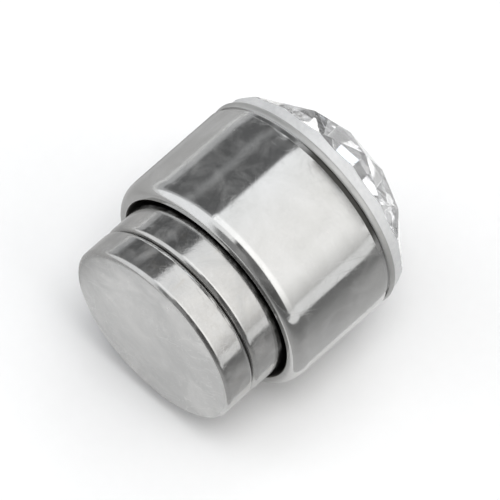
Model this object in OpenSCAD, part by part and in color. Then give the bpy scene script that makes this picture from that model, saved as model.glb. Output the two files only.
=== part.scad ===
// Magnetic stud earring: a round brilliant stone glued into a polished metal cup,
// with a disc magnet let into the cup's rear and a loose disc magnet behind it.
// It is built along its own axis, from the back face to the stone's table,
// and then laid down on the cup's side.

/* [Magnets] */
// Diameter of both disc magnets
magnet_d = 5; // [3:0.1:8]
// Thickness of the loose magnet that goes behind the ear
back_magnet_t = 0.9; // [0.5:0.05:2]
// Thickness of the magnet glued into the cup
front_magnet_t = 1.5; // [1:0.05:3]
// How far the cup's magnet stands out of the cup
magnet_proud = 0.91; // [0.1:0.01:0.95]
// Rounding of the magnets' edges
magnet_edge_r = 0.12; // [0.05:0.01:0.2]
// Gap between the two magnets when they are closed
magnet_gap = 0.02; // [0.01:0.01:0.1]

/* [Cup] */
// Gap round the magnet in the mouth of the cup
mouth_gap = 0.13; // [0.05:0.01:0.5]
// Wall of the cup round that gap
mouth_wall = 0.37; // [0.3:0.01:0.8]
// How far the mouth's rounded shoulder runs along the wall
shoulder_l = 0.42; // [0.1:0.01:0.5]
// How far the shoulder runs across the mouth's face
shoulder_w = 0.24; // [0.05:0.01:0.25]
// Rounding of the mouth's inner edge
mouth_edge_r = 0.04; // [0.02:0.01:0.05]
// Glue under the magnet
glue_gap = 0.03; // [0.01:0.01:0.1]
// Metal left between the magnet's recess and the stone's seat
web_t = 0.15; // [0.1:0.01:1]
// Thickness of the lip round the stone
lip_wall = 0.08; // [0.06:0.01:0.5]
// Height of the lip in front of the shadow groove
lip_h = 0.18; // [0.1:0.01:0.4]
// Height of girdle that the lip covers
lip_cover = 0.05; // [0.02:0.01:0.15]
// Rounding of the lip's outer edge
lip_edge_r = 0.05; // [0.02:0.01:0.055]
// Width of the shadow groove
groove_w = 0.14; // [0.05:0.01:0.25]
// Depth of the shadow groove
groove_depth = 0.07; // [0.03:0.01:0.1]

/* [Stone] */
// Diameter of the stone at its girdle
stone_d = 5.8; // [4:0.1:8]
// Diameter of the table, from corner to corner
table_d = 3.04; // [2:0.02:3.8]
// Angle of the crown's kite facets to the girdle
crown_angle = 39.5; // [30:0.5:42]
// Angle of the pavilion's main facets to the girdle
pavilion_angle = 40.75; // [38:0.25:43]
// Thickness of the girdle where the facets' corners meet it
girdle_t = 0.38; // [0.2:0.01:0.5]
// How far the star facets reach from the table towards the girdle
star_share = 0.5; // [0.4:0.01:0.6]
// How far the lower half facets reach from the girdle towards the culet
lower_half_share = 0.77; // [0.7:0.01:0.85]
// Gap between the stone and the metal round it
stone_gap = 0.02; // [0.01:0.005:0.05]

/* [Hidden] */
$fn = 96;
// Overrun of every cut past the surface that it opens
over = 1;
// A round brilliant has eight mains, eight stars and sixteen halves a side
mains = 8;
main_turn = 360 / mains;
half_turn = main_turn / 2;
quarter_turn = half_turn / 2;
// Flats of the girdle along each half facet
girdle_steps = 4;
ring = 2 * mains * girdle_steps;
// Bands that make up the mouth's shoulder
shoulder_steps = 10;

magnet_r = magnet_d / 2;
recess_r = magnet_r + mouth_gap;
mouth_r = recess_r + mouth_wall;
stone_r = stone_d / 2;
lip_bore_r = stone_r + stone_gap;
lip_r = lip_bore_r + lip_wall;
widest_r = max(mouth_r, lip_r);

// The stone's heights are measured from the top of its girdle
table_r = table_d / 2;
table_edge_r = table_r * cos(half_turn);
crown_h = (stone_r - table_r) * tan(crown_angle);
star_tip_r = table_edge_r + star_share * (stone_r - table_edge_r);
star_tip_h = (stone_r - star_tip_r * cos(half_turn)) * tan(crown_angle);

// The pavilion's depths are measured from the bottom of its girdle
pavilion_h = stone_r * tan(pavilion_angle);
lower_tip_r = stone_r * (1 - lower_half_share);
lower_tip_h = (stone_r - lower_tip_r * cos(half_turn)) * tan(pavilion_angle);

// Stations along the axis, from the back face of the loose magnet
front_magnet_z = back_magnet_t + magnet_gap;
mouth_z = front_magnet_z + magnet_proud;
recess_floor_z = front_magnet_z + front_magnet_t + glue_gap;
seat_floor_z = recess_floor_z + web_t;
// The steepest edge of the pavilion runs from the girdle to a lower half's tip
seat_angle = atan(lower_tip_h / (stone_r - lower_tip_r));
// The seat's cone is offset from the pavilion by the gap, and its tip by more
seat_tip_gap = stone_gap / cos(seat_angle);
culet_z = seat_floor_z + seat_tip_gap;
girdle_bottom_z = culet_z + pavilion_h;
girdle_top_z = girdle_bottom_z + girdle_t;
table_z = girdle_top_z + crown_h;
lip_top_z = girdle_bottom_z + lip_cover;
groove_z = lip_top_z - lip_h - groove_w;

// Puts the axis level, pointing along +Y, with the cup's side on the surface
// and a flat of the stone's girdle, not a corner, facing down
module lay_down() {
  translate([0, -table_z / 2, widest_r])
    rotate([-90, 0, 0])
      rotate([0, 0, 180 / ring])
        children();
}

// Ring that rounds the outer edge at the foot of a cylinder
module outer_edge_cut(r, edge_r) {
  rotate_extrude()
    translate([r - edge_r, 0])
      difference() {
        translate([0, -over])
          square([edge_r + over, edge_r + over]);
        translate([0, edge_r])
          circle(r = edge_r);
      }
}

// Ring that leaves a long shoulder, a quarter of an ellipse, at the foot of a cylinder
module shoulder_cut(r, length, width) {
  turn = 90 / shoulder_steps;
  rotate_extrude()
    polygon(concat(
      [[r + over, length], [r + over, -over], [r - width, -over]],
      [for (i = [0 : shoulder_steps])
        [r - width * (1 - sin(i * turn)), length * (1 - cos(i * turn))]]
    ));
}

// Ring that rounds the inner edge at the foot of a bore
module inner_edge_cut(r, edge_r) {
  rotate_extrude()
    translate([r, 0])
      difference() {
        translate([-edge_r, -over])
          square([2 * edge_r, edge_r + over]);
        translate([edge_r, edge_r])
          circle(r = edge_r);
      }
}

// Same ring at the top of a solid
module at_top(z) {
  translate([0, 0, z])
    mirror([0, 0, 1])
      children();
}

module disc_magnet(t) {
  difference() {
    cylinder(r = magnet_r, h = t);
    outer_edge_cut(magnet_r, magnet_edge_r);
    at_top(t)
      outer_edge_cut(magnet_r, magnet_edge_r);
  }
}

// Height that a half facet's plane gives up on the girdle's circle at a step round it,
// where the plane runs through two points of the circle and a tip nearer the axis
function half_dip(step, tip_r, tip_h) =
  let (turn = step * half_turn / girdle_steps)
  let (middle = (floor(step / girdle_steps) + 0.5) * half_turn)
  let (slope = tip_h / ((stone_r - tip_r) * cos(quarter_turn)))
  stone_r * (cos(turn - middle) - cos(quarter_turn)) * slope;

function polar(r, turn, z) = [r * cos(turn), r * sin(turn), z];

// Corner numbers, level by level from the table to the culet
main_steps = 2 * girdle_steps;
star_at = mains;
top_at = star_at + mains;
bottom_at = top_at + ring;
lower_at = bottom_at + ring;
culet_at = lower_at + mains;

stone_corners = concat(
  [for (i = [0 : mains - 1]) polar(table_r, i * main_turn, table_z)],
  [for (i = [0 : mains - 1])
    polar(star_tip_r, (i + 0.5) * main_turn, girdle_top_z + star_tip_h)],
  [for (i = [0 : ring - 1])
    polar(stone_r, i * 360 / ring, girdle_top_z - half_dip(i, star_tip_r, star_tip_h))],
  [for (i = [0 : ring - 1])
    polar(stone_r, i * 360 / ring,
      girdle_bottom_z + half_dip(i, lower_tip_r, lower_tip_h))],
  [for (i = [0 : mains - 1])
    polar(lower_tip_r, (i + 0.5) * main_turn, girdle_bottom_z - lower_tip_h)],
  [[0, 0, culet_z]]
);

// Each facet's corners run clockwise, seen from outside
table_facet = [[for (i = [0 : mains - 1]) mains - 1 - i]];
stars = [for (i = [0 : mains - 1]) [i, (i + 1) % mains, star_at + i]];
kites = [for (i = [0 : mains - 1])
  [i, star_at + i, top_at + i * main_steps, star_at + (i + mains - 1) % mains]];
upper_halves = [for (h = [0 : 2 * mains - 1])
  concat([star_at + floor(h / 2)],
    [for (j = [girdle_steps : -1 : 0]) top_at + (h * girdle_steps + j) % ring])];
girdle = [for (i = [0 : ring - 1])
  [top_at + i, top_at + (i + 1) % ring, bottom_at + (i + 1) % ring, bottom_at + i]];
lower_halves = [for (h = [0 : 2 * mains - 1])
  concat([lower_at + floor(h / 2)],
    [for (j = [0 : girdle_steps]) bottom_at + (h * girdle_steps + j) % ring])];
lower_mains = [for (i = [0 : mains - 1])
  [culet_at, lower_at + (i + mains - 1) % mains, bottom_at + i * main_steps, lower_at + i]];

module stone() {
  color("aliceblue")
    lay_down()
      polyhedron(stone_corners,
        concat(table_facet, stars, kites, upper_halves, girdle, lower_halves, lower_mains));
}

module cup() {
  color("silver")
    lay_down()
      difference() {
        translate([0, 0, mouth_z])
          cylinder(r1 = mouth_r, r2 = lip_r, h = lip_top_z - mouth_z);
        magnet_recess();
        stone_seat();
        shadow_groove();
        translate([0, 0, mouth_z])
          shoulder_cut(mouth_r, shoulder_l, shoulder_w);
        translate([0, 0, mouth_z])
          inner_edge_cut(recess_r, mouth_edge_r);
        at_top(lip_top_z)
          outer_edge_cut(lip_r, lip_edge_r);
      }
}

module magnet_recess() {
  translate([0, 0, mouth_z - over])
    cylinder(r = recess_r, h = recess_floor_z - mouth_z + over);
}

// Cone under the pavilion, and the bore of the lip above it
module stone_seat() {
  seat_h = lip_bore_r * tan(seat_angle);
  translate([0, 0, girdle_bottom_z - seat_h])
    intersection() {
      cylinder(r1 = 0, r2 = lip_bore_r, h = seat_h);
      translate([0, 0, seat_h - girdle_bottom_z + seat_floor_z])
        cylinder(r = stone_d, h = stone_d);
    }
  translate([0, 0, girdle_bottom_z])
    cylinder(r = lip_bore_r, h = lip_cover + over);
}

module shadow_groove() {
  translate([0, 0, groove_z])
    difference() {
      cylinder(r = widest_r + over, h = groove_w);
      cylinder(r = lip_r - groove_depth, h = groove_w);
    }
}

module front_magnet() {
  color([0.80, 0.80, 0.78])
    lay_down()
      translate([0, 0, front_magnet_z])
        disc_magnet(front_magnet_t);
}

module back_magnet() {
  color([0.74, 0.74, 0.74])
    lay_down()
      disc_magnet(back_magnet_t);
}

stone();
cup();
front_magnet();
back_magnet();
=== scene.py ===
# Magnetic stud earring lying on its cup's side: a brilliant stone, a polished cup and two disc magnets
from math import cos, pi, radians, sin, tan

import bmesh
import bpy
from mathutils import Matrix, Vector


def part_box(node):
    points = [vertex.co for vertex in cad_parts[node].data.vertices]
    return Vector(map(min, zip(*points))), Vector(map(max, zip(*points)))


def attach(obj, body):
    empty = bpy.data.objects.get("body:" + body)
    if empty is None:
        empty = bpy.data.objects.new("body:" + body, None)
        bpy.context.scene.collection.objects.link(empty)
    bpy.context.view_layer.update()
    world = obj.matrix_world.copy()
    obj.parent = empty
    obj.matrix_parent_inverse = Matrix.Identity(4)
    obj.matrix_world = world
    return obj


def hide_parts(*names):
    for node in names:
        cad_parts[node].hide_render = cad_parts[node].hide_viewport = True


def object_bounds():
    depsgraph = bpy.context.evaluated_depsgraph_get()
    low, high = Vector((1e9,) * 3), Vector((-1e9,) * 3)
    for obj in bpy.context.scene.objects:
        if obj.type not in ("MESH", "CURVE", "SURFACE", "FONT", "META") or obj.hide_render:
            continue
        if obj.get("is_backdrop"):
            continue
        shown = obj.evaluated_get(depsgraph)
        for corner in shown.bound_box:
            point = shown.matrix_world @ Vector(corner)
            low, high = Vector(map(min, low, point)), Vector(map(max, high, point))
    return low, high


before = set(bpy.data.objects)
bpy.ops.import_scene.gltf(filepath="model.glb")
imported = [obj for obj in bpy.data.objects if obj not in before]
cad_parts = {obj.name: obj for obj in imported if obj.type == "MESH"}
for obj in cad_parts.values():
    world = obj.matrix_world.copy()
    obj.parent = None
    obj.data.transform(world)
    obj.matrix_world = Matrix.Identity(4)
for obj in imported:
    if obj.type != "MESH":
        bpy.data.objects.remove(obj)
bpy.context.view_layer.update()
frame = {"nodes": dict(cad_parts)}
print("frame loaded:", ", ".join(frame["nodes"]))

mm = 0.001

# Where the earring's axis runs, and where its stations start: at the back face of the loose magnet
cupLow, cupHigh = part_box("cup")
earringAxis = {
    "x": (cupLow.x + cupHigh.x) / 2,
    "z": (cupLow.z + cupHigh.z) / 2,
    "backY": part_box("back_magnet")[0].y,
    "turnSteps": 256,  # flats round everything that is turned
}


def stationOf(y):
    return (y - earringAxis["backY"]) / mm


def placeOnAxis(station, radius, angle):
    # stations and radii in millimetres, angle from +X towards +Z
    return Vector((
        earringAxis["x"] + radius * mm * cos(angle),
        earringAxis["backY"] + station * mm,
        earringAxis["z"] + radius * mm * sin(angle),
    ))


def roundedCorner(station, radius, length, depth, start, end, steps=10):
    # profile points round a corner whose centre is at (station, radius)
    points = []
    for step in range(steps + 1):
        turn = start + (end - start) * step / steps
        points.append((station + length * cos(turn), radius + depth * sin(turn)))
    return points


def newPiece(name, meshWork, body, node, materials):
    mesh = bpy.data.meshes.new(name)
    bmesh.ops.recalc_face_normals(meshWork, faces=meshWork.faces[:])
    meshWork.to_mesh(mesh)
    meshWork.free()
    piece = bpy.data.objects.new(name, mesh)
    bpy.context.scene.collection.objects.link(piece)
    for material in materials:
        mesh.materials.append(material)
    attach(piece, body)
    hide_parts(node)
    return piece


def turnProfile(points, materialOf=None):
    # turns a profile of (station, radius) points round the earring's axis, from the axis back to the axis
    work = bmesh.new()
    steps = earringAxis["turnSteps"]
    rings = []
    for station, radius in points:
        if radius == 0:
            rings.append([work.verts.new(placeOnAxis(station, 0, 0))] * steps)
        else:
            rings.append([
                work.verts.new(placeOnAxis(station, radius, 2 * pi * step / steps)) for step in range(steps)
            ])
    for (first, second), (start, end) in zip(zip(rings, rings[1:]), zip(points, points[1:])):
        for step in range(steps):
            after = (step + 1) % steps
            corners = [first[step], second[step], second[after], first[after]]
            face = work.faces.new(list(dict.fromkeys(corners)))
            face.smooth = True
            if materialOf:
                face.material_index = materialOf((start[0] + end[0]) / 2, (start[1] + end[1]) / 2)
    return work


def feed(tree, node, inputs):
    # an input takes a plain value or another node's socket
    for name, value in inputs.items():
        if isinstance(value, bpy.types.NodeSocket):
            tree.links.new(value, node.inputs[name])
        else:
            node.inputs[name].default_value = value


def addNode(tree, kind, inputs=None, **settings):
    made = tree.nodes.new("ShaderNode" + kind)
    for name, value in settings.items():
        setattr(made, name, value)
    feed(tree, made, inputs or {})
    return made


def calculate(tree, operation, *values, clamp=False):
    return addNode(tree, "Math", dict(enumerate(values)), operation=operation, use_clamp=clamp).outputs[0]


def addUp(tree, start, *terms):
    # sum of (socket, factor) terms on a plain value
    total = start
    for socket, factor in terms:
        total = calculate(tree, "MULTIPLY_ADD", socket, factor, total)
    return total


def smoothRange(tree, value, low, high, toLow=0.0, toHigh=1.0):
    ranged = addNode(tree, "MapRange", {
        "Value": value, "From Min": low, "From Max": high, "To Min": toLow, "To Max": toHigh,
    }, interpolation_type="SMOOTHSTEP")
    return ranged.outputs["Result"]


def splitPlace(tree, place):
    return addNode(tree, "SeparateXYZ", {0: place}).outputs


def placeInMillimetres(tree):
    place = addNode(tree, "TexCoord").outputs["Object"]
    return addNode(tree, "VectorMath", {0: place, "Scale": 1 / mm}, operation="SCALE").outputs[0]


def addNoise(tree, scale, detail, place=None, **inputs):
    # noise with its scale in spots per millimetre
    if place is None:
        place = placeInMillimetres(tree)
    inputs.update({"Vector": place, "Scale": scale, "Detail": detail})
    return addNode(tree, "TexNoise", inputs).outputs[0]


def mixColours(tree, factor, first, second):
    return addNode(tree, "Mix", {0: factor, 6: first, 7: second}, data_type="RGBA").outputs[2]


def addBump(tree, height, depth, before=None):
    # depth in millimetres
    inputs = {"Height": height, "Strength": 1.0, "Distance": depth * mm}
    if before is not None:
        inputs["Normal"] = before
    return addNode(tree, "Bump", inputs).outputs[0]


def newGroup(name, inputs, output):
    # a shared effect: inputs are (name, value, lowest, highest), and it puts out one mask or height
    tree = bpy.data.node_groups.new(name, "ShaderNodeTree")
    for label, value, low, high in inputs:
        socket = tree.interface.new_socket(name=label, in_out="INPUT", socket_type="NodeSocketFloat")
        socket.default_value, socket.min_value, socket.max_value = value, low, high
    tree.interface.new_socket(name=output, in_out="OUTPUT", socket_type="NodeSocketFloat")
    return tree, tree.nodes.new("NodeGroupInput").outputs, tree.nodes.new("NodeGroupOutput")


def useGroup(tree, group, inputs):
    made = tree.nodes.new("ShaderNodeGroup")
    made.node_tree = group
    feed(tree, made, inputs)
    return made.outputs[0]


# Hairline scratches: the level lines of noise that is pulled out long, in three directions
def makeHairlines():
    tree, given, made = newGroup(
        "hairlines",
        [("Lines per mm", 3.0, 0.1, 50.0), ("Line width", 0.02, 0.001, 0.5), ("Share", 0.5, 0.0, 1.0)],
        "Mask",
    )
    place = placeInMillimetres(tree)
    directions = ((0.0, -0.58, 0.245), (0.0, -0.848, 2.47), (0.0, 0.41, 1.23))
    stretch = (9.0, 1.0, 1.0)
    patchesPerMm, bare, steepness = 0.9, 0.35, 5.0
    total = 0.0
    for direction in directions:
        pulled = addNode(tree, "Mapping", {
            "Vector": place, "Rotation": direction, "Scale": stretch,
        }, vector_type="TEXTURE").outputs[0]
        noise = addNoise(tree, given["Lines per mm"], detail=2.0, place=pulled, Roughness=0.6)
        away = calculate(tree, "ABSOLUTE", calculate(tree, "SUBTRACT", noise, 0.5))
        near = addNode(tree, "MapRange", {
            "Value": away, "From Min": 0.0, "From Max": given["Line width"], "To Min": 1.0, "To Max": 0.0,
        }).outputs["Result"]
        # a patchy mask, so that each direction shows only here and there
        patches = addNoise(tree, patchesPerMm, detail=1.0, place=pulled)
        shown = calculate(tree, "SUBTRACT", patches, bare)
        shown = calculate(tree, "MULTIPLY", shown, given["Share"])
        shown = calculate(tree, "MULTIPLY", shown, steepness, clamp=True)
        line = calculate(tree, "MULTIPLY", near, shown)
        total = calculate(tree, "MAXIMUM", line, total)
    feed(tree, made, {"Mask": total})
    return tree


# Handling haze: soft blotches where fingers and polish left a film
def makeHaze():
    tree, given, made = newGroup(
        "handling haze",
        [("Blotches per mm", 0.6, 0.05, 20.0), ("Share", 0.5, 0.0, 1.0)],
        "Mask",
    )
    noiseTop, steepness = 0.75, 3.0
    noise = addNoise(tree, given["Blotches per mm"], detail=5.0, Roughness=0.62, Distortion=0.8)
    edge = calculate(tree, "SUBTRACT", noiseTop, given["Share"])
    above = calculate(tree, "SUBTRACT", noise, edge)
    feed(tree, made, {"Mask": calculate(tree, "MULTIPLY", above, steepness, clamp=True)})
    return tree


# Dust: single specks in the cells of a fine grid
def makeDust():
    tree, given, made = newGroup(
        "dust specks",
        [("Cells per mm", 3.0, 0.1, 50.0), ("Speck size", 0.1, 0.0, 1.0), ("Share", 0.3, 0.0, 1.0)],
        "Mask",
    )
    cells = addNode(tree, "TexVoronoi", {
        "Vector": placeInMillimetres(tree), "Scale": given["Cells per mm"], "Randomness": 1.0,
    }).outputs
    speck = addNode(tree, "MapRange", {
        "Value": cells["Distance"], "From Min": 0.0, "From Max": given["Speck size"],
        "To Min": 1.0, "To Max": 0.0,
    }).outputs["Result"]
    pick = addNode(tree, "SeparateColor", {0: cells["Color"]}).outputs[0]
    chosen = calculate(tree, "LESS_THAN", pick, given["Share"])
    feed(tree, made, {"Mask": calculate(tree, "MULTIPLY", speck, chosen)})
    return tree


# Edge wear: where the metal turns a sharp corner, broken up by noise
def makeEdgeWear():
    tree, given, made = newGroup(
        "edge wear",
        [("Reach", 0.06, 0.001, 0.5), ("Breaks per mm", 4.0, 0.1, 50.0)],
        "Mask",
    )
    bend = addNode(tree, "NewGeometry").outputs["Pointiness"]
    over = calculate(tree, "SUBTRACT", bend, 0.5)
    corner = calculate(tree, "DIVIDE", over, given["Reach"], clamp=True)
    breaks = addNoise(tree, given["Breaks per mm"], detail=3.0)
    broken = smoothRange(tree, breaks, low=0.35, high=0.65)
    feed(tree, made, {"Mask": calculate(tree, "MULTIPLY", corner, broken)})
    return tree


# Turning marks: fine grooves that ring the axis, along a wall or across a face
def makeTurningMarks():
    tree, given, made = newGroup(
        "turning marks",
        [("Marks per mm", 20.0, 0.5, 200.0), ("Across the face", 0.0, 0.0, 1.0)],
        "Height",
    )
    place = splitPlace(tree, placeInMillimetres(tree))
    above = calculate(tree, "SUBTRACT", place["Z"], earringAxis["z"] / mm)
    level = addNode(tree, "CombineXYZ", {"X": place["X"], "Y": above, "Z": 0.0}).outputs[0]
    radius = addNode(tree, "VectorMath", {0: level}, operation="LENGTH").outputs["Value"]
    spot = addNode(tree, "Mix", {
        "Factor": given["Across the face"], "A": place["Y"], "B": radius,
    }).outputs[0]
    marks = addNode(tree, "TexNoise", {
        "W": spot, "Scale": given["Marks per mm"], "Detail": 3.0, "Roughness": 0.7,
    }, noise_dimensions="1D").outputs[0]
    feed(tree, made, {"Height": marks})
    return tree


effects = {
    "hairlines": makeHairlines(),
    "haze": makeHaze(),
    "dust": makeDust(),
    "edgeWear": makeEdgeWear(),
    "turningMarks": makeTurningMarks(),
}
print("shared effects made")


def useEffects(tree, wanted):
    return {name: useGroup(tree, effects[name], inputs) for name, inputs in wanted.items()}


def roughnessOf(tree, start, masks, rougher, *more):
    # what each effect adds to the roughness, and any further (socket, factor) terms
    return addUp(tree, start, *[(masks[name], added) for name, added in rougher.items()], *more)


def newMaterial(name):
    material = bpy.data.materials.new(name)
    material.use_nodes = True
    return material, material.node_tree, material.node_tree.nodes["Principled BSDF"]


# Polished steel of the cup. Depths and stations are in millimetres here and below
steelFinish = {
    "clean": (0.60, 0.60, 0.595, 1.0),
    "hazed": (0.53, 0.53, 0.52, 1.0),
    "dusty": (0.75, 0.74, 0.72, 1.0),
    "effects": {
        "haze": {"Blotches per mm": 0.8, "Share": 0.45},
        "hairlines": {"Lines per mm": 2.2, "Line width": 0.012, "Share": 0.5},
        "dust": {"Cells per mm": 2.6, "Speck size": 0.07, "Share": 0.25},
        "edgeWear": {"Reach": 0.10, "Breaks per mm": 3.0},
        "turningMarks": {"Marks per mm": 26.0, "Across the face": 0.0},
    },
    "smudges": {"Blotches per mm": 1.1, "Share": 0.29},
    "film": 0.26,  # share of a smudge that scatters light as a film of skin grease does
    "roughness": 0.07,
    "rougher": {"haze": 0.05, "hairlines": 0.12, "dust": 0.45, "edgeWear": 0.10},  # what each effect adds
    "lipRoughness": 0.50,  # the lip is burnished over the stone, not polished
    "lipStart": (4.97, 4.99),  # stations where it sets in and is full
    "wavesPerMm": 0.55,
    "waveDepth": 0.004,  # slow waves that polishing leaves in the wall
    "markDepth": 0.0006,
    "scratchDepth": 0.0006,
}


def makeSteel(settings):
    material, tree, shader = newMaterial("polished steel")
    masks = useEffects(tree, settings["effects"])
    colour = mixColours(tree, masks["haze"], settings["clean"], settings["hazed"])
    colour = mixColours(tree, masks["dust"], colour, settings["dusty"])
    along = splitPlace(tree, placeInMillimetres(tree))["Y"]
    lipStart, lipFull = [earringAxis["backY"] / mm + station for station in settings["lipStart"]]
    lip = smoothRange(tree, along, lipStart, lipFull)
    satin = settings["lipRoughness"] - settings["roughness"]
    rough = roughnessOf(tree, settings["roughness"], masks, settings["rougher"], (lip, satin))
    smudges = useGroup(tree, effects["haze"], settings["smudges"])
    waves = addNoise(tree, settings["wavesPerMm"], detail=1.0)
    normal = addBump(tree, waves, settings["waveDepth"])
    normal = addBump(tree, masks["turningMarks"], settings["markDepth"], normal)
    normal = addBump(tree, masks["hairlines"], -settings["scratchDepth"], normal)
    feed(tree, shader, {
        "Base Color": colour,
        "Roughness": rough,
        "Metallic": addUp(tree, 1.0, (smudges, -settings["film"])),
        "Normal": normal,
    })
    return material


# The same steel in the magnet's recess and on the mouth's inner edge, dull, with painted shade as its dark
# colour
recessFinish = {
    # painted shade for the recess and the mouth's inner edge, lighter in patches
    "dark": (0.06, 0.059, 0.057, 1.0),
    "lighterShade": (0.13, 0.125, 0.115, 1.0),
    "haze": {"Blotches per mm": 2.5, "Share": 0.5},
    "roughness": 0.42,
    "hazeRoughness": 0.25,
    "metallic": 0.6,
    "grainsPerMm": 12.0,
    "grainDepth": 0.006,
}


def makeRecessSteel(settings):
    material, tree, shader = newMaterial("recess steel")
    haze = useGroup(tree, effects["haze"], settings["haze"])
    grain = addNoise(tree, settings["grainsPerMm"], detail=3.0)
    feed(tree, shader, {
        "Base Color": mixColours(tree, haze, settings["dark"], settings["lighterShade"]),
        "Roughness": addUp(tree, settings["roughness"], (haze, settings["hazeRoughness"])),
        "Metallic": settings["metallic"],
        "Normal": addBump(tree, grain, settings["grainDepth"]),
    })
    return material


# The shadow groove: bare steel in the unshaded turns, and painted shade, darker and lighter in patches, in
# the rest.
# Turns are in degrees round the earring's axis, from straight up towards +X
grooveFinish = {
    "clean": (0.58, 0.58, 0.575, 1.0),
    # painted shade: the groove's own shadow, given as colour
    "grooveShade": (0.025, 0.025, 0.024, 1.0),
    "lighterShade": (0.08, 0.077, 0.07, 1.0),
    "unshadedTurns": ((-72, 0), (64, 104)),
    "softness": 10.0,
    "wander": 28.0,  # degrees that noise moves the painted shade's ends, in all
    "breaksPerMm": 1.3,
    "roughness": 0.48,
    "breakRoughness": 0.10,
    "unshadedRoughness": -0.38,
    "metallic": (0.6, 1.0),  # of the painted shade, and in the unshaded turns
    "grainsPerMm": 12.0,
    "grainDepth": 0.002,
}


def makeGrooveSteel(settings):
    material, tree, shader = newMaterial("groove steel")
    place = splitPlace(tree, placeInMillimetres(tree))
    above = calculate(tree, "SUBTRACT", place["Z"], earringAxis["z"] / mm)
    turn = calculate(tree, "DEGREES", calculate(tree, "ARCTAN2", place["X"], above))
    breaks = addNoise(tree, settings["breaksPerMm"], detail=4.0)
    turn = addUp(tree, -settings["wander"] / 2, (breaks, settings["wander"]), (turn, 1.0))
    soft = settings["softness"]
    unshadedTurns = 0.0
    for start, end in settings["unshadedTurns"]:
        rise = smoothRange(tree, turn, start - soft, start + soft)
        fall = smoothRange(tree, turn, end - soft, end + soft, 1.0, 0.0)
        unshadedTurns = calculate(tree, "MAXIMUM", calculate(tree, "MULTIPLY", rise, fall), unshadedTurns)
    # painted shade, darker and lighter in patches
    grooveShade = mixColours(tree, breaks, settings["grooveShade"], settings["lighterShade"])
    rough = addUp(tree, settings["roughness"], (breaks, settings["breakRoughness"]))
    rough = addUp(tree, rough, (unshadedTurns, settings["unshadedRoughness"]))
    dull, bare = settings["metallic"]
    grain = addNoise(tree, settings["grainsPerMm"], detail=3.0)
    feed(tree, shader, {
        "Base Color": mixColours(tree, unshadedTurns, grooveShade, settings["clean"]),
        "Roughness": rough,
        "Metallic": addUp(tree, dull, (unshadedTurns, bare - dull)),
        "Normal": addBump(tree, grain, settings["grainDepth"]),
    })
    return material


# Silvered foil under the stone, slightly creased
foilFinish = {
    "dark": (0.86, 0.86, 0.87, 1.0),
    "bright": (0.97, 0.97, 0.97, 1.0),
    "creasesPerMm": 1.8,
    "creaseDepth": 0.008,
    "roughness": 0.04,
    "creaseRoughness": 0.08,
}


def makeFoil(settings):
    material, tree, shader = newMaterial("silvered foil")
    creases = addNoise(tree, settings["creasesPerMm"], detail=3.0, Distortion=0.6)
    feed(tree, shader, {
        "Base Color": mixColours(tree, creases, settings["dark"], settings["bright"]),
        "Roughness": addUp(tree, settings["roughness"], (creases, settings["creaseRoughness"])),
        "Metallic": 1.0,
        "Normal": addBump(tree, creases, settings["creaseDepth"]),
    })
    return material


# Nickel plate of the magnets: bright on the rim, satin on the faces
nickelFinish = {
    "clean": (0.58, 0.575, 0.565, 1.0),
    "hazed": (0.45, 0.45, 0.445, 1.0),
    "worn": (0.46, 0.45, 0.43, 1.0),
    "scratched": (0.70, 0.70, 0.69, 1.0),
    # painted shade, for the seam between the magnets and the cup's mouth
    "paintedShade": (0.13, 0.125, 0.12, 1.0),
    "dusty": (0.72, 0.71, 0.69, 1.0),
    "effects": {
        "haze": {"Blotches per mm": 0.7, "Share": 0.5},
        "hairlines": {"Lines per mm": 2.8, "Line width": 0.012, "Share": 0.6},
        "dust": {"Cells per mm": 2.8, "Speck size": 0.08, "Share": 0.25},
        "edgeWear": {"Reach": 0.05, "Breaks per mm": 5.0},
    },
    "smudges": {"Blotches per mm": 1.7, "Share": 0.29},
    "film": 0.34,
    "faceStart": (0.80, 0.995),  # the normal's share along the axis, where the face starts and is full
    "rimRoughness": 0.085,
    "faceRoughness": 0.26,
    "rougher": {"haze": 0.06, "hairlines": 0.12, "dust": 0.40},
    "scratchesSeen": (0.15, 0.60),  # on the rim and on the faces
    "seam": 0.91,  # station where the two magnets meet
    "seamReach": (0.015, 0.075),  # how far from there the painted shade is full, and where it ends
    "seamSpotsPerMm": 1.6,
    "seamWander": 0.12,
    "seamShare": 0.35,
    "seamRoughness": 0.30,
    "mouthReach": 0.03,
    "peelsPerMm": 5.0,
    "peelDepth": 0.0022,
    "grainsPerMm": 38.0,
    "grainDepth": 0.0004,
    "scratchDepth": 0.0006,
}


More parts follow.
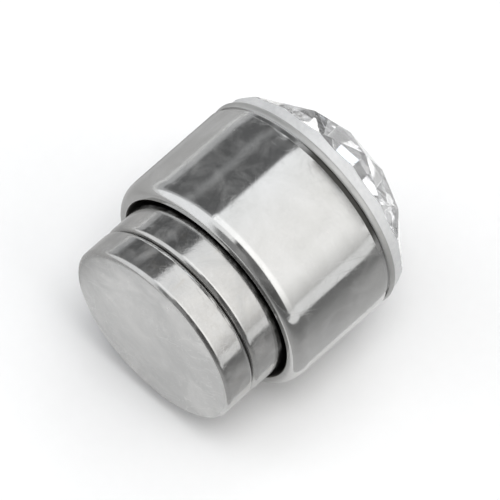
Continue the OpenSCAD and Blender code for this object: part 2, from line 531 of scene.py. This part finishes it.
def makeNickel(settings):
    material, tree, shader = newMaterial("nickel plate")
    masks = useEffects(tree, settings["effects"])
    colour = mixColours(tree, masks["haze"], settings["clean"], settings["hazed"])
    # how squarely the surface faces along the axis: 1 on the flat faces, 0 on the rim
    facing = splitPlace(tree, addNode(tree, "TexCoord").outputs["Normal"])["Y"]
    flat = smoothRange(tree, calculate(tree, "ABSOLUTE", facing), *settings["faceStart"])
    rim = calculate(tree, "SUBTRACT", 1.0, flat)
    worn = calculate(tree, "MULTIPLY", masks["edgeWear"], rim)
    colour = mixColours(tree, worn, colour, settings["worn"])
    onRim, onFace = settings["scratchesSeen"]
    seen = calculate(tree, "MULTIPLY", addUp(tree, onRim, (flat, onFace - onRim)), masks["hairlines"])
    colour = mixColours(tree, seen, colour, settings["scratched"])
    # painted shade in the seam between the magnets, which is also rougher there
    along = splitPlace(tree, placeInMillimetres(tree))["Y"]
    seamAt = earringAxis["backY"] / mm + settings["seam"]
    fromSeam = calculate(tree, "ABSOLUTE", calculate(tree, "SUBTRACT", along, seamAt))
    spots = addNoise(tree, settings["seamSpotsPerMm"], detail=4.0)
    spread = calculate(tree, "SUBTRACT", spots, 0.5)
    fromSeam = calculate(tree, "MULTIPLY_ADD", spread, settings["seamWander"], fromSeam)
    full, end = settings["seamReach"]
    paintedShade = smoothRange(tree, fromSeam, full, end, settings["seamShare"], 0.0)
    paintedShade = calculate(tree, "MULTIPLY", paintedShade, rim)
    # painted shade in the seam
    colour = mixColours(tree, paintedShade, colour, settings["paintedShade"])
    # painted shade where the magnet goes into the cup's mouth; no finger or cloth reaches in there, so no
    # smudges either
    mouthAt, reach = cupLow.y / mm, settings["mouthReach"]
    deep = smoothRange(tree, along, mouthAt - reach, mouthAt + reach)
    colour = mixColours(tree, deep, colour, settings["paintedShade"])
    colour = mixColours(tree, masks["dust"], colour, settings["dusty"])
    satin = settings["faceRoughness"] - settings["rimRoughness"]
    further = [(flat, satin), (paintedShade, settings["seamRoughness"])]
    rough = roughnessOf(tree, settings["rimRoughness"], masks, settings["rougher"], *further)
    film = calculate(tree, "MULTIPLY", useGroup(tree, effects["haze"], settings["smudges"]), rim)
    film = calculate(tree, "MULTIPLY", film, calculate(tree, "SUBTRACT", 1.0, deep))
    peel = addNoise(tree, settings["peelsPerMm"], detail=2.0)
    grain = addNoise(tree, settings["grainsPerMm"], detail=3.0)
    normal = addBump(tree, peel, settings["peelDepth"])
    normal = addBump(tree, grain, settings["grainDepth"], normal)
    normal = addBump(tree, masks["hairlines"], -settings["scratchDepth"], normal)
    feed(tree, shader, {
        "Base Color": colour,
        "Roughness": rough,
        "Metallic": addUp(tree, 1.0, (film, -settings["film"])),
        "Normal": normal,
    })
    return material


# Cubic zirconia
stoneFinish = {
    "cool": (0.985, 0.99, 1.0, 1.0),
    "warm": (1.0, 0.995, 0.985, 1.0),
    "tintsPerMm": 0.4,
    "effects": {
        "hairlines": {"Lines per mm": 1.6, "Line width": 0.006, "Share": 0.3},
        "dust": {"Cells per mm": 2.2, "Speck size": 0.05, "Share": 0.16},
    },
    "roughness": 0.0,
    "rougher": {"dust": 0.35, "hairlines": 0.05},
    "ior": 2.15,
}


def makeStoneMaterial(settings):
    material, tree, shader = newMaterial("cubic zirconia")
    masks = useEffects(tree, settings["effects"])
    tint = addNoise(tree, settings["tintsPerMm"], detail=1.0)
    feed(tree, shader, {
        "Base Color": mixColours(tree, tint, settings["cool"], settings["warm"]),
        "Roughness": roughnessOf(tree, settings["roughness"], masks, settings["rougher"]),
        "Transmission Weight": 1.0,
        "IOR": settings["ior"],
    })
    return material


# The stone's girdle is ground, not polished
girdleFinish = {
    "dark": (0.70, 0.71, 0.72, 1.0),
    "pale": (1.0, 1.0, 1.0, 1.0),
    "grainsPerMm": 9.0,
    "grainDepth": 0.012,
    "roughness": 0.25,
    "grainRoughness": 0.2,
    "transmission": 0.45,
    "ior": stoneFinish["ior"],
}


def makeGirdleMaterial(settings):
    material, tree, shader = newMaterial("ground zirconia")
    grain = addNoise(tree, settings["grainsPerMm"], detail=5.0)
    feed(tree, shader, {
        "Base Color": mixColours(tree, grain, settings["dark"], settings["pale"]),
        "Roughness": addUp(tree, settings["roughness"], (grain, settings["grainRoughness"])),
        "Transmission Weight": settings["transmission"],
        "IOR": settings["ior"],
        "Normal": addBump(tree, grain, settings["grainDepth"]),
    })
    return material


steel = makeSteel(steelFinish)
recessSteel = makeRecessSteel(recessFinish)
grooveSteel = makeGrooveSteel(grooveFinish)
foil = makeFoil(foilFinish)
nickel = makeNickel(nickelFinish)
stoneClear = makeStoneMaterial(stoneFinish)
stoneGirdle = makeGirdleMaterial(girdleFinish)
print("materials made")


# Both disc magnets, between the stations of their nodes
magnetForm = {
    "edgeRadius": 0.15,  # mm
    "innerRings": 8,
    "sharpAngle": radians(30),
}


def makeMagnet(name, node, body, settings):
    low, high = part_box(node)
    start, end = stationOf(low.y), stationOf(high.y)
    radius = (high.x - low.x) / 2 / mm
    edge = settings["edgeRadius"]
    corner = radius - edge
    rings = settings["innerRings"]
    points = [(start, corner * ring / rings) for ring in range(rings)]
    points.append((start, corner - edge / 4))
    points += roundedCorner(start + edge, corner, edge, edge, pi, pi / 2)
    points += roundedCorner(end - edge, corner, edge, edge, pi / 2, 0)
    points.append((end, corner - edge / 4))
    points += [(end, corner * ring / rings) for ring in reversed(range(rings))]
    piece = newPiece(name, turnProfile(points), body, node, [nickel])
    piece.data.set_sharp_from_angle(angle=settings["sharpAngle"])


makeMagnet("loose_magnet_disc", "back_magnet", "back", magnetForm)
makeMagnet("cup_magnet_disc", "front_magnet", "front", magnetForm)
print("magnets made")


# Round brilliant, with the facets of the stone's node and a girdle twice as fine. Heights run along the
# axis, in millimetres
stoneForm = {
    "mains": 8,
    "radius": 2.9,
    "tableRadius": 1.52,
    "crownAngle": radians(39.5),
    "pavilionAngle": radians(40.75),
    "starShare": 0.5,
    "lowerHalfShare": 0.77,
    "girdleSteps": 8,  # flats of the girdle along each half facet
    "turn": -pi / 64,  # as the node lies, with a flat of its girdle down
    "facetEdge": 0.005,  # the polisher's tiny rounding between facets
    "facetAngle": radians(4),  # the flattest edge that gets it
}


def measureStone(form):
    # the heights and radii that follow from the cut's angles
    mainTurn = 2 * pi / form["mains"]
    tableEdge = form["tableRadius"] * cos(mainTurn / 2)
    starTip = tableEdge + form["starShare"] * (form["radius"] - tableEdge)
    lowerTip = form["radius"] * (1 - form["lowerHalfShare"])
    crownSlope, pavilionSlope = tan(form["crownAngle"]), tan(form["pavilionAngle"])
    low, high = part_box("stone")
    crown = (form["radius"] - form["tableRadius"]) * crownSlope
    pavilion = form["radius"] * pavilionSlope
    return {
        "culet": stationOf(low.y),
        "table": stationOf(high.y),
        "girdleTop": stationOf(high.y) - crown,
        "girdleBottom": stationOf(low.y) + pavilion,
        "starTip": starTip,
        "starRise": (form["radius"] - starTip * cos(mainTurn / 2)) * crownSlope,
        "lowerTip": lowerTip,
        "lowerDrop": (form["radius"] - lowerTip * cos(mainTurn / 2)) * pavilionSlope,
    }


def halfDip(form, step, tip, tipHeight):
    # what a half facet's plane takes off the girdle's edge at a step round it
    halfTurn = pi / form["mains"]
    turn = step * halfTurn / form["girdleSteps"]
    middle = (step // form["girdleSteps"] + 0.5) * halfTurn
    slope = tipHeight / ((form["radius"] - tip) * cos(halfTurn / 2))
    return form["radius"] * (cos(turn - middle) - cos(halfTurn / 2)) * slope


def makeStone(form, size):
    work = bmesh.new()
    mains, steps = form["mains"], form["girdleSteps"]
    ring = 2 * mains * steps
    radius = form["radius"]
    starTip, starRise = size["starTip"], size["starRise"]
    lowerTip, lowerDrop = size["lowerTip"], size["lowerDrop"]
    girdleTop, girdleBottom = size["girdleTop"], size["girdleBottom"]

    def corner(station, r, turn):
        return work.verts.new(placeOnAxis(station, r, 2 * pi * turn + form["turn"]))

    tableCorners = [corner(size["table"], form["tableRadius"], i / mains) for i in range(mains)]
    starTips = [corner(girdleTop + starRise, starTip, (i + 0.5) / mains) for i in range(mains)]
    top = [
        corner(girdleTop - halfDip(form, i, starTip, starRise), radius, i / ring) for i in range(ring)
    ]
    bottom = [
        corner(girdleBottom + halfDip(form, i, lowerTip, lowerDrop), radius, i / ring) for i in range(ring)
    ]
    lowerTips = [corner(girdleBottom - lowerDrop, lowerTip, (i + 0.5) / mains) for i in range(mains)]
    culet = corner(size["culet"], 0, 0)
    mainSteps = 2 * steps
    work.faces.new(tableCorners)
    for i in range(mains):
        work.faces.new([tableCorners[i], tableCorners[(i + 1) % mains], starTips[i]])
        work.faces.new([tableCorners[i], starTips[i], top[i * mainSteps], starTips[i - 1]])
        work.faces.new([culet, lowerTips[i - 1], bottom[i * mainSteps], lowerTips[i]])
    for half in range(2 * mains):
        edge = [(half * steps + j) % ring for j in range(steps + 1)]
        work.faces.new([starTips[half // 2]] + [top[i] for i in edge])
        work.faces.new([lowerTips[half // 2]] + [bottom[i] for i in edge])
    for i in range(ring):
        after = (i + 1) % ring
        face = work.faces.new([top[i], top[after], bottom[after], bottom[i]])
        face.material_index = 1  # the ground girdle
    piece = newPiece("stone_brilliant", work, "front", "stone", [stoneClear, stoneGirdle])
    edges = piece.modifiers.new("facet edges", "BEVEL")
    edges.width = form["facetEdge"] * mm
    edges.segments = 1
    edges.limit_method = "ANGLE"
    edges.angle_limit = form["facetAngle"]


stoneSize = measureStone(stoneForm)
makeStone(stoneForm, stoneSize)
print("stone cut")


# The cup, in millimetres. Its ends and its width come from its node's box
cupForm = {
    "shoulderLength": 0.42,
    "shoulderWidth": 0.24,
    "mouthEdge": 0.04,
    "mouthShade": 0.032,  # how far across the mouth's edge the painted shade reaches
    "recessRadius": 2.63,
    "recessFloor": 2.45,
    "web": 0.15,
    "lipHeight": 0.18,
    "lipWall": 0.08,
    "lipRear": (0.115, 0.045),  # length and depth of the lip's rounding towards the groove
    "lipFront": (0.06, 0.05),
    "grooveWidth": 0.14,
    "grooveDepth": 0.07,
    "grooveEdge": 0.015,
    "wallRings": 6,
    "cornerSteps": {"lipFront": 10, "lipRear": 8, "groove": 4, "shoulder": 24, "mouth": 6},
    "sharpAngle": radians(30),
}


def makeCup(form):
    radius = (cupHigh.x - cupLow.x) / 2 / mm
    mouth, lipTop = stationOf(cupLow.y), stationOf(cupHigh.y)
    inner, sharp = form["mouthEdge"], form["grooveEdge"]
    recess, recessFloor = form["recessRadius"], form["recessFloor"]
    shoulderLength, shoulderWidth = form["shoulderLength"], form["shoulderWidth"]
    shoulderEnd = mouth + shoulderLength
    grooveEnd = lipTop - form["lipHeight"]
    grooveStart = grooveEnd - form["grooveWidth"]
    grooveFloor = radius - form["grooveDepth"]
    bore = radius - form["lipWall"]
    seatTop = stoneSize["girdleBottom"]
    seatFloor = recessFloor + form["web"]
    slope = stoneSize["lowerDrop"] / (stoneForm["radius"] - stoneSize["lowerTip"])
    seatFloorRadius = bore - (seatTop - seatFloor) / slope
    steps = form["cornerSteps"]
    # the stone's seat, and the lip round it
    points = [(seatFloor, 0), (seatFloor, seatFloorRadius), (seatTop, bore), (lipTop, bore)]
    length, depth = form["lipFront"]
    points += roundedCorner(lipTop - length, radius - depth, length, depth, 0, pi / 2, steps["lipFront"])
    # the shadow groove
    length, depth = form["lipRear"]
    points += roundedCorner(grooveEnd + length, radius - depth, length, depth, pi / 2, pi, steps["lipRear"])
    points += [(grooveEnd, grooveFloor), (grooveStart, grooveFloor)]
    points += roundedCorner(grooveStart - sharp, radius - sharp, sharp, sharp, 0, pi / 2, steps["groove"])
    # the wall, back to the mouth
    wallStart = grooveStart - sharp
    for ring in range(1, form["wallRings"]):
        points.append((wallStart + (shoulderEnd - wallStart) * ring / form["wallRings"], radius))
    points += roundedCorner(
        shoulderEnd, radius - shoulderWidth, shoulderLength, shoulderWidth, pi / 2, pi, steps["shoulder"],
    )
    points += roundedCorner(mouth + inner, recess + inner, inner, inner, pi, 3 * pi / 2, steps["mouth"])
    # the magnet's recess
    points += [(recessFloor, recess), (recessFloor, 0)]
    finishes = {"wall": steel, "recess": recessSteel, "groove": grooveSteel, "seat": foil}
    hair = 0.001  # mm, so that rounding decides no face

    def finishAt(station, r):
        inGroove = grooveStart - hair < station < grooveEnd + hair
        if station > seatFloor - hair and r < bore + hair:
            name = "seat"
        elif inGroove and grooveFloor - hair < r < radius - sharp - hair:
            name = "groove"
        elif station < recessFloor + hair and r < recess + form["mouthShade"]:
            name = "recess"
        else:
            name = "wall"
        return list(finishes).index(name)

    work = turnProfile(points, finishAt)
    piece = newPiece("cup_polished", work, "front", "cup", finishes.values())
    piece.data.set_sharp_from_angle(angle=form["sharpAngle"])


makeCup(cupForm)
print("cup turned")


# Floor: a pale matt board
floorFinish = {
    "halfWidth": 0.6,  # m
    "colour": (0.86, 0.86, 0.86, 1.0),
    "fleck": (0.88, 0.88, 0.88, 1.0),
    "flecksPerMm": 3.0,
    "roughness": 0.7,
    "specular": 0.2,
}


def newSheet(name, corners, material):
    # one flat face under or beside the earring
    mesh = bpy.data.meshes.new(name)
    mesh.from_pydata(corners, [], [(0, 1, 2, 3)])
    mesh.materials.append(material)
    sheet = bpy.data.objects.new(name, mesh)
    bpy.context.scene.collection.objects.link(sheet)
    return sheet


def makeFloor(settings):
    material, tree, shader = newMaterial("pale board")
    grain = addNoise(tree, settings["flecksPerMm"], detail=3.0)
    feed(tree, shader, {
        "Base Color": mixColours(tree, grain, settings["colour"], settings["fleck"]),
        "Roughness": settings["roughness"],
        "Specular IOR Level": settings["specular"],
    })
    half = settings["halfWidth"]
    corners = [(-half, -half, 0), (half, -half, 0), (half, half, 0), (-half, half, 0)]
    floor = newSheet("floor", corners, material)
    floor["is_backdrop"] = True


makeFloor(floorFinish)

# Studio surroundings. Turns are in degrees round the earring's axis from straight up, clockwise seen from
# the loose magnet. The run is the share of a direction that goes along the axis, towards the stone,
# and X is the share that goes sideways
studio = {
    "backdrop": 0.855,  # what the camera sees behind the floor
    "room": 0.62,
    "overhead": (1.38, -21, 63, 100),  # level, start, end of the full level, end
    "overheadMiddle": 1.75,  # square to the axis
    "middleRun": (0.20, 0.06),  # half its width, and its softness
    "flag": (0.165, -82, -21),
    "flagRun": (-0.12, 0.0),
    "flagStreak": (0.37, 4),  # level, and half its width
    "frontRun": (-0.16, -0.22),
    "frontLeft": (1.30, -100, 0),
    "frontLeftSoft": (5.0, 6.0),
    "frontRight": (0.14, 8, 118),  # the dark side of the room, where the camera stands
    "frontRightSoft": (4.0, 4.0),
    # straight behind the loose magnet
    "squareRun": (-0.50, -0.58),
    "square": 0.33,
    "squareX": (-0.36, -0.16),
    "squareDark": 0.13,
    "squareDarkX": (0.25, 0.50),
    # what the stone's face looks at: lamps, with dark gaps between them and a little colour
    "aheadRun": (0.50, 0.56),
    "lamps": 1.4,
    "gaps": 0.05,
    "cells": 5.0,
    "cellRandomness": 0.9,
    "litAbove": 0.50,
    "colouredBelow": 0.10,
    "cool": (0.82, 0.90, 1.0, 1.0),
    "warm": (0.94, 0.86, 0.78, 1.0),
    "leftTint": (0.965, 0.98, 1.0, 1.0),
    "rightTint": (1.0, 0.995, 0.985, 1.0),
    "tintX": (-0.6, 0.6),
}


def makeStudio(settings):
    world = bpy.data.worlds.new("studio")
    bpy.context.scene.world = world
    world.use_nodes = True
    tree = world.node_tree
    tree.nodes.clear()
    direction = addNode(tree, "TexCoord").outputs["Generated"]
    split = splitPlace(tree, direction)
    sideways, run = split["X"], split["Y"]
    turn = calculate(tree, "DEGREES", calculate(tree, "ARCTAN2", sideways, split["Z"]))

    def both(first, second):
        return calculate(tree, "MULTIPLY", first, second)

    def band(value, start, end, softStart=1.0, softEnd=1.0):
        rise = smoothRange(tree, value, start - softStart, start + softStart)
        fall = smoothRange(tree, value, end - softEnd, end + softEnd, 1.0, 0.0)
        return both(rise, fall)

    def cover(below, level, mask):
        return addNode(tree, "Mix", {"Factor": mask, "A": below, "B": level}).outputs[0]

    level, start, full, end = settings["overhead"]
    half, soft = settings["middleRun"]
    over = cover(level, settings["overheadMiddle"], band(run, -half, half, soft, soft))
    light = cover(settings["room"], over, band(turn, start, (full + end) / 2, 1.0, (end - full) / 2))
    # the dark flag at the left, with a paler streak along its middle
    level, start, end = settings["flag"]
    streak, half = settings["flagStreak"]
    middle = (start + end) / 2
    dark = cover(level, streak, band(turn, middle - half, middle + half, half, half))
    flagged = both(band(turn, start, end), smoothRange(tree, run, *settings["flagRun"]))
    light = cover(light, dark, flagged)
    # the front, behind the loose magnet: pale at the left, dark at the right, grey between
    toFront = smoothRange(tree, run, *settings["frontRun"])
    pale, start, end = settings["frontLeft"]
    light = cover(light, pale, both(toFront, band(turn, start, end, *settings["frontLeftSoft"])))
    level, start, end = settings["frontRight"]
    light = cover(light, level, both(toFront, band(turn, start, end, *settings["frontRightSoft"])))
    across = cover(pale, settings["square"], smoothRange(tree, sideways, *settings["squareX"]))
    across = cover(across, settings["squareDark"], smoothRange(tree, sideways, *settings["squareDarkX"]))
    light = cover(light, across, smoothRange(tree, run, *settings["squareRun"]))
    tint = smoothRange(tree, sideways, *settings["tintX"])
    colour = mixColours(tree, tint, settings["leftTint"], settings["rightTint"])
    # the end that the stone faces
    ahead = smoothRange(tree, run, *settings["aheadRun"])
    cells = addNode(tree, "TexVoronoi", {
        "Vector": direction, "Scale": settings["cells"], "Randomness": settings["cellRandomness"],
    }).outputs["Color"]
    pick = addNode(tree, "SeparateColor", {0: cells}).outputs
    lit = calculate(tree, "GREATER_THAN", pick[0], settings["litAbove"])
    light = cover(light, cover(settings["gaps"], settings["lamps"], lit), ahead)
    for channel, name in ((1, "cool"), (2, "warm")):
        coloured = calculate(tree, "LESS_THAN", pick[channel], settings["colouredBelow"])
        colour = mixColours(tree, both(coloured, ahead), colour, settings[name])
    room = addNode(tree, "Background", {"Color": colour, "Strength": light}).outputs[0]
    white = (1.0, 1.0, 1.0, 1.0)
    seen = addNode(tree, "Background", {"Color": white, "Strength": settings["backdrop"]}).outputs[0]
    toCamera = addNode(tree, "LightPath").outputs["Is Camera Ray"]
    mix = addNode(tree, "MixShader", {0: toCamera, 1: room, 2: seen}).outputs[0]
    addNode(tree, "OutputWorld", {"Surface": mix})


makeStudio(studio)

# Glowing cards on the floor beside the earring, which only its polished metal mirrors: painted reflections
# of the floor in shade. Lengths in millimetres, and levels are (x, brightness)
mirroredFloorShade = {
    "right": {
        "height": 0.01,
        "x": (3.3, 21.0),
        "y": (-12, 30),
        "levels": ((3.3, 0.60), (7.0, 0.46), (12.0, 0.26), (21.0, 0.19)),
    },
    "left": {
        "height": 0.01,
        "x": (-60.0, -3.6),
        "y": (-30, 40),
        "levels": ((-60.0, 0.62), (-16.0, 0.62), (-10.0, 0.54), (-3.6, 0.60)),
    },
    # dark as the room's front, which the mouth's shoulder and the magnets' edges mirror
    "front": {
        "height": 0.01,
        "x": (3.3, 250.0),
        "y": (-250, -12),
        "levels": ((3.3, 0.46), (12.0, 0.24), (21.0, 0.19), (250.0, 0.16)),
    },
    # darker, beside the cup alone
    "corner": {
        "height": 0.02,
        "x": (-7.0, -3.6),
        "y": (0.8, 14),
        "levels": ((-7.0, 0.55), (-5.6, 0.38), (-3.6, 0.32)),
    },
}


def makeMirroredShade(side, form):
    name = side + " card"
    material = bpy.data.materials.new(name)
    material.use_nodes = True
    tree = material.node_tree
    tree.nodes.clear()
    along = splitPlace(tree, placeInMillimetres(tree))["X"]
    level = form["levels"][0][1]
    for (start, low), (end, high) in zip(form["levels"], form["levels"][1:]):
        rise = addNode(tree, "MapRange", {
            "Value": along, "From Min": start, "From Max": end, "To Min": 0.0, "To Max": high - low,
        }).outputs["Result"]
        level = calculate(tree, "ADD", rise, level)
    # painted reflection: glow that stands in for the floor in shade
    glow = addNode(tree, "Emission", {"Strength": level}).outputs[0]
    addNode(tree, "OutputMaterial", {"Surface": glow})
    (left, right), (near, far), height = form["x"], form["y"], form["height"]
    corners = [(left, near), (right, near), (right, far), (left, far)]
    card = newSheet(name, [(x * mm, y * mm, height * mm) for x, y in corners], material)
    card.visible_camera = card.visible_diffuse = card.visible_transmission = card.visible_shadow = False
    card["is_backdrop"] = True


for side, form in mirroredFloorShade.items():
    makeMirroredShade(side, form)

# Soft lamp over the table. Polished metal doesn't mirror it
lampSettings = {
    "place": (0.12, -0.05, 0.45),  # m
    "size": 0.25,
    "power": 0.8,  # W
}


def makeLamp(settings):
    data = bpy.data.lights.new("soft lamp", "AREA")
    data.shape = "DISK"
    data.size = settings["size"]
    data.energy = settings["power"]
    lamp = bpy.data.objects.new("soft lamp", data)
    bpy.context.scene.collection.objects.link(lamp)
    lamp.location = settings["place"]
    lamp.rotation_mode = "QUATERNION"
    lamp.rotation_quaternion = (-Vector(settings["place"])).to_track_quat("-Z", "Y")
    lamp.visible_glossy = lamp.visible_transmission = False


makeLamp(lampSettings)
print("studio lit")

# Camera at the photograph's angle to the earring
cameraSettings = {
    "azimuth": radians(44.2),
    "elevation": radians(58.9),
    "lens": 600,  # mm
    "frameWidth": 0.0118,  # m across the picture at the earring
    "clipFactor": 20,  # how many times nearer and farther than the earring the camera sees
}


def makeCamera(settings):
    data = bpy.data.cameras.new("camera")
    camera = bpy.data.objects.new("camera", data)
    bpy.context.scene.collection.objects.link(camera)
    data.lens = settings["lens"]
    distance = settings["frameWidth"] * data.lens / data.sensor_width
    data.clip_start, data.clip_end = distance / settings["clipFactor"], distance * settings["clipFactor"]
    azimuth, elevation = settings["azimuth"], settings["elevation"]
    back = Vector((sin(azimuth) * cos(elevation), -cos(azimuth) * cos(elevation), sin(elevation)))
    low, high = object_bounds()
    camera.location = (low + high) / 2 + back * distance
    camera.rotation_mode = "QUATERNION"
    camera.rotation_quaternion = (-back).to_track_quat("-Z", "Y")
    bpy.context.scene.camera = camera


makeCamera(cameraSettings)
scene = bpy.context.scene
scene.view_settings.view_transform = "Standard"
scene.cycles.max_bounces = 24
scene.cycles.glossy_bounces = 16
scene.cycles.transmission_bounces = 16
